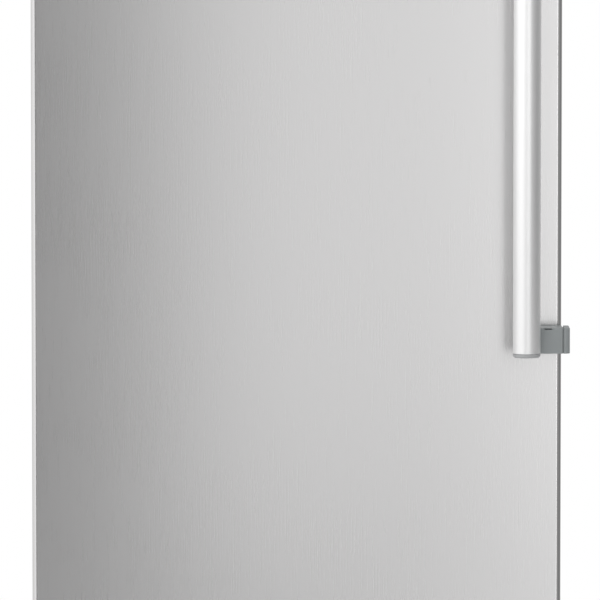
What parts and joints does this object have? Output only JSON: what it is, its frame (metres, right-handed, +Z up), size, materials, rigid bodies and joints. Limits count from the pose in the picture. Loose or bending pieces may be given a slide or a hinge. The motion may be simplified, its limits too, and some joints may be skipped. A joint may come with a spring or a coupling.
{
  "type": "upright freezer",
  "caption": "Free-standing upright freezer with a satin steel door, a lever bar handle, drawers on glass shelves, and its cooling parts at the back.",
  "frame": {"origin": "on the floor, at the middle of the freezer's outline seen from above, handle included", "axes": "+Z up, -Y out of the door's front, +X towards the handle side, hinges on -X"},
  "size_m": [0.6086, 0.7204, 1.85],
  "materials": {
    "satin_steel": "satin brushed stainless steel",
    "silver_paint": "silver-grey painted sheet",
    "grey_paint": "dark grey painted sheet",
    "foam": "cream rigid foam",
    "liner_white": "white moulded polystyrene",
    "seal_grey": "soft grey magnetic seal",
    "lever_grey": "satin grey moulded plastic",
    "cap_grey": "satin light grey plastic",
    "fascia_grey": "satin silver plastic",
    "window_black": "glossy dark display window",
    "button_grey": "satin grey button",
    "board_green": "green circuit board",
    "zinc_steel": "zinc-plated steel",
    "black_paint": "semi-gloss black paint",
    "black_plastic": "matte black plastic",
    "plinth_grey": "satin dark grey plastic",
    "copper": "bare copper",
    "fin_aluminium": "bare aluminium",
    "shelf_glass": "clear toughened glass",
    "drawer_clear": "clear polystyrene",
    "lamp_lens": "opal lamp lens",
    "rubber_black": "black rubber"
  },
  "bodies": {
    "cabinet": {"cabinet_shell": "silver_paint", "rear_panel": "grey_paint", "cabinet_insulation": "foam", "inner_liner": "liner_white", "base_frame": "zinc_steel", "plinth_grille": "plinth_grey", "control_fascia": "fascia_grey", "display_window": "window_black", "control_board": "board_green", "top_hinge_bracket": "zinc_steel", "bottom_hinge_bracket": "zinc_steel", "hinge_pins": "zinc_steel", "glass_shelves": "shelf_glass", "evaporator": "fin_aluminium", "evaporator_cover": "liner_white", "fan_motor": "black_plastic", "defrost_heater": "zinc_steel", "evaporation_tray": "black_plastic", "compressor": "black_paint", "compressor_mounts": "rubber_black", "start_relay": "black_plastic", "condenser": "black_paint", "condenser_brackets": "black_plastic", "filter_drier": "copper", "discharge_pipe": "copper", "suction_pipe": "copper", "mains_inlet": "black_plastic", "led_lamp": "lamp_lens", "cabinet_screws": "zinc_steel", "roller_axles": "zinc_steel"},
    "door": {"door_skin": "satin_steel", "door_cap_top": "cap_grey", "door_cap_bottom": "cap_grey", "door_insulation": "foam", "door_liner": "liner_white", "door_gasket": "seal_grey", "hinge_bushes": "black_plastic", "handle_base_lower": "lever_grey", "handle_base_upper": "lever_grey", "handle_pivot_pins": "zinc_steel", "handle_screws": "zinc_steel"},
    "handle": {"handle_bar": "satin_steel", "handle_end_caps": "cap_grey", "handle_lever_lower": "lever_grey", "handle_lever_upper": "lever_grey"},
    "pushers": {"handle_pushers": "lever_grey"},
    "fan_rotor": {"fan_rotor": "black_plastic"},
    "front_foot_left": {"front_foot_left": "black_plastic"},
    "front_foot_right": {"front_foot_right": "black_plastic"},
    "rear_roller_left": {"rear_roller_left": "black_plastic"},
    "rear_roller_right": {"rear_roller_right": "black_plastic"},
    "power_button": {"power_button": "button_grey"},
    "temperature_button": {"temperature_button": "button_grey"},
    "fast_freeze_button": {"fast_freeze_button": "button_grey"},
    "drawer_1": {"drawer_1": "drawer_clear"},
    "drawer_2": {"drawer_2": "drawer_clear"},
    "drawer_3": {"drawer_3": "drawer_clear"},
    "drawer_4": {"drawer_4": "drawer_clear"},
    "drawer_5": {"drawer_5": "drawer_clear"},
    "drawer_6": {"drawer_6": "drawer_clear"}
  },
  "joints": [
    {"name": "door_hinge", "type": "hinge", "parent": "cabinet", "child": "door", "pos_m": [-0.29025, -0.24875, 0.922], "axis": [0, 0, -1], "range_deg": [0, 115]},
    {"name": "handle_swing", "type": "hinge", "parent": "door", "child": "handle", "pos_m": [0.28375, -0.30175, 0.985], "axis": [0, 0, 1], "range_deg": [0, 15], "stiffness_Nm_per_rad": 6},
    {"name": "pusher_slide", "type": "slide", "parent": "door", "child": "pushers", "axis": [0, 1, 0], "range_m": [0, 0.0052]},
    {"name": "fan_spin", "type": "hinge", "parent": "cabinet", "child": "fan_rotor", "pos_m": [-0.00425, 0.22825, 1.6], "axis": [0, 1, 0], "continuous": true},
    {"name": "power_button_press", "type": "slide", "parent": "cabinet", "child": "power_button", "axis": [0, 1, 0], "range_m": [0, 0.0012], "stiffness_N_per_m": 400},
    {"name": "temperature_button_press", "type": "slide", "parent": "cabinet", "child": "temperature_button", "axis": [0, 1, 0], "range_m": [0, 0.0012], "stiffness_N_per_m": 400},
    {"name": "fast_freeze_button_press", "type": "slide", "parent": "cabinet", "child": "fast_freeze_button", "axis": [0, 1, 0], "range_m": [0, 0.0012], "stiffness_N_per_m": 400},
    {"name": "front_foot_left_turn", "type": "hinge", "parent": "cabinet", "child": "front_foot_left", "pos_m": [-0.25925, -0.16975, 0.004], "axis": [0, 0, 1], "continuous": true},
    {"name": "rear_roller_left_spin", "type": "hinge", "parent": "cabinet", "child": "rear_roller_left", "pos_m": [-0.25925, 0.28525, 0.012], "axis": [1, 0, 0], "continuous": true},
    {"name": "front_foot_right_turn", "type": "hinge", "parent": "cabinet", "child": "front_foot_right", "pos_m": [0.25075, -0.16975, 0.004], "axis": [0, 0, 1], "continuous": true},
    {"name": "rear_roller_right_spin", "type": "hinge", "parent": "cabinet", "child": "rear_roller_right", "pos_m": [0.25075, 0.28525, 0.012], "axis": [1, 0, 0], "continuous": true},
    {"name": "drawer_1_slide", "type": "slide", "parent": "cabinet", "child": "drawer_1", "axis": [0, -1, 0], "range_m": [0, 0.2]},
    {"name": "drawer_2_slide", "type": "slide", "parent": "cabinet", "child": "drawer_2", "axis": [0, -1, 0], "range_m": [0, 0.34]},
    {"name": "drawer_3_slide", "type": "slide", "parent": "cabinet", "child": "drawer_3", "axis": [0, -1, 0], "range_m": [0, 0.34]},
    {"name": "drawer_4_slide", "type": "slide", "parent": "cabinet", "child": "drawer_4", "axis": [0, -1, 0], "range_m": [0, 0.34]},
    {"name": "drawer_5_slide", "type": "slide", "parent": "cabinet", "child": "drawer_5", "axis": [0, -1, 0], "range_m": [0, 0.34]},
    {"name": "drawer_6_slide", "type": "slide", "parent": "cabinet", "child": "drawer_6", "axis": [0, -1, 0], "range_m": [0, 0.34]}
  ],
  "couplings": [
    {"joint": "pusher_slide", "follows": "handle_swing", "m_per_rad": 0.0195},
    {"joint": "drawer_1_slide", "follows": "door_hinge", "m_per_rad": 0.07972},
    {"joint": "drawer_2_slide", "follows": "door_hinge", "m_per_rad": 0.06975},
    {"joint": "drawer_3_slide", "follows": "door_hinge", "m_per_rad": 0.05979},
    {"joint": "drawer_4_slide", "follows": "door_hinge", "m_per_rad": 0.04982},
    {"joint": "drawer_5_slide", "follows": "door_hinge", "m_per_rad": 0.03986},
    {"joint": "drawer_6_slide", "follows": "door_hinge", "m_per_rad": 0.02989}
  ]
}
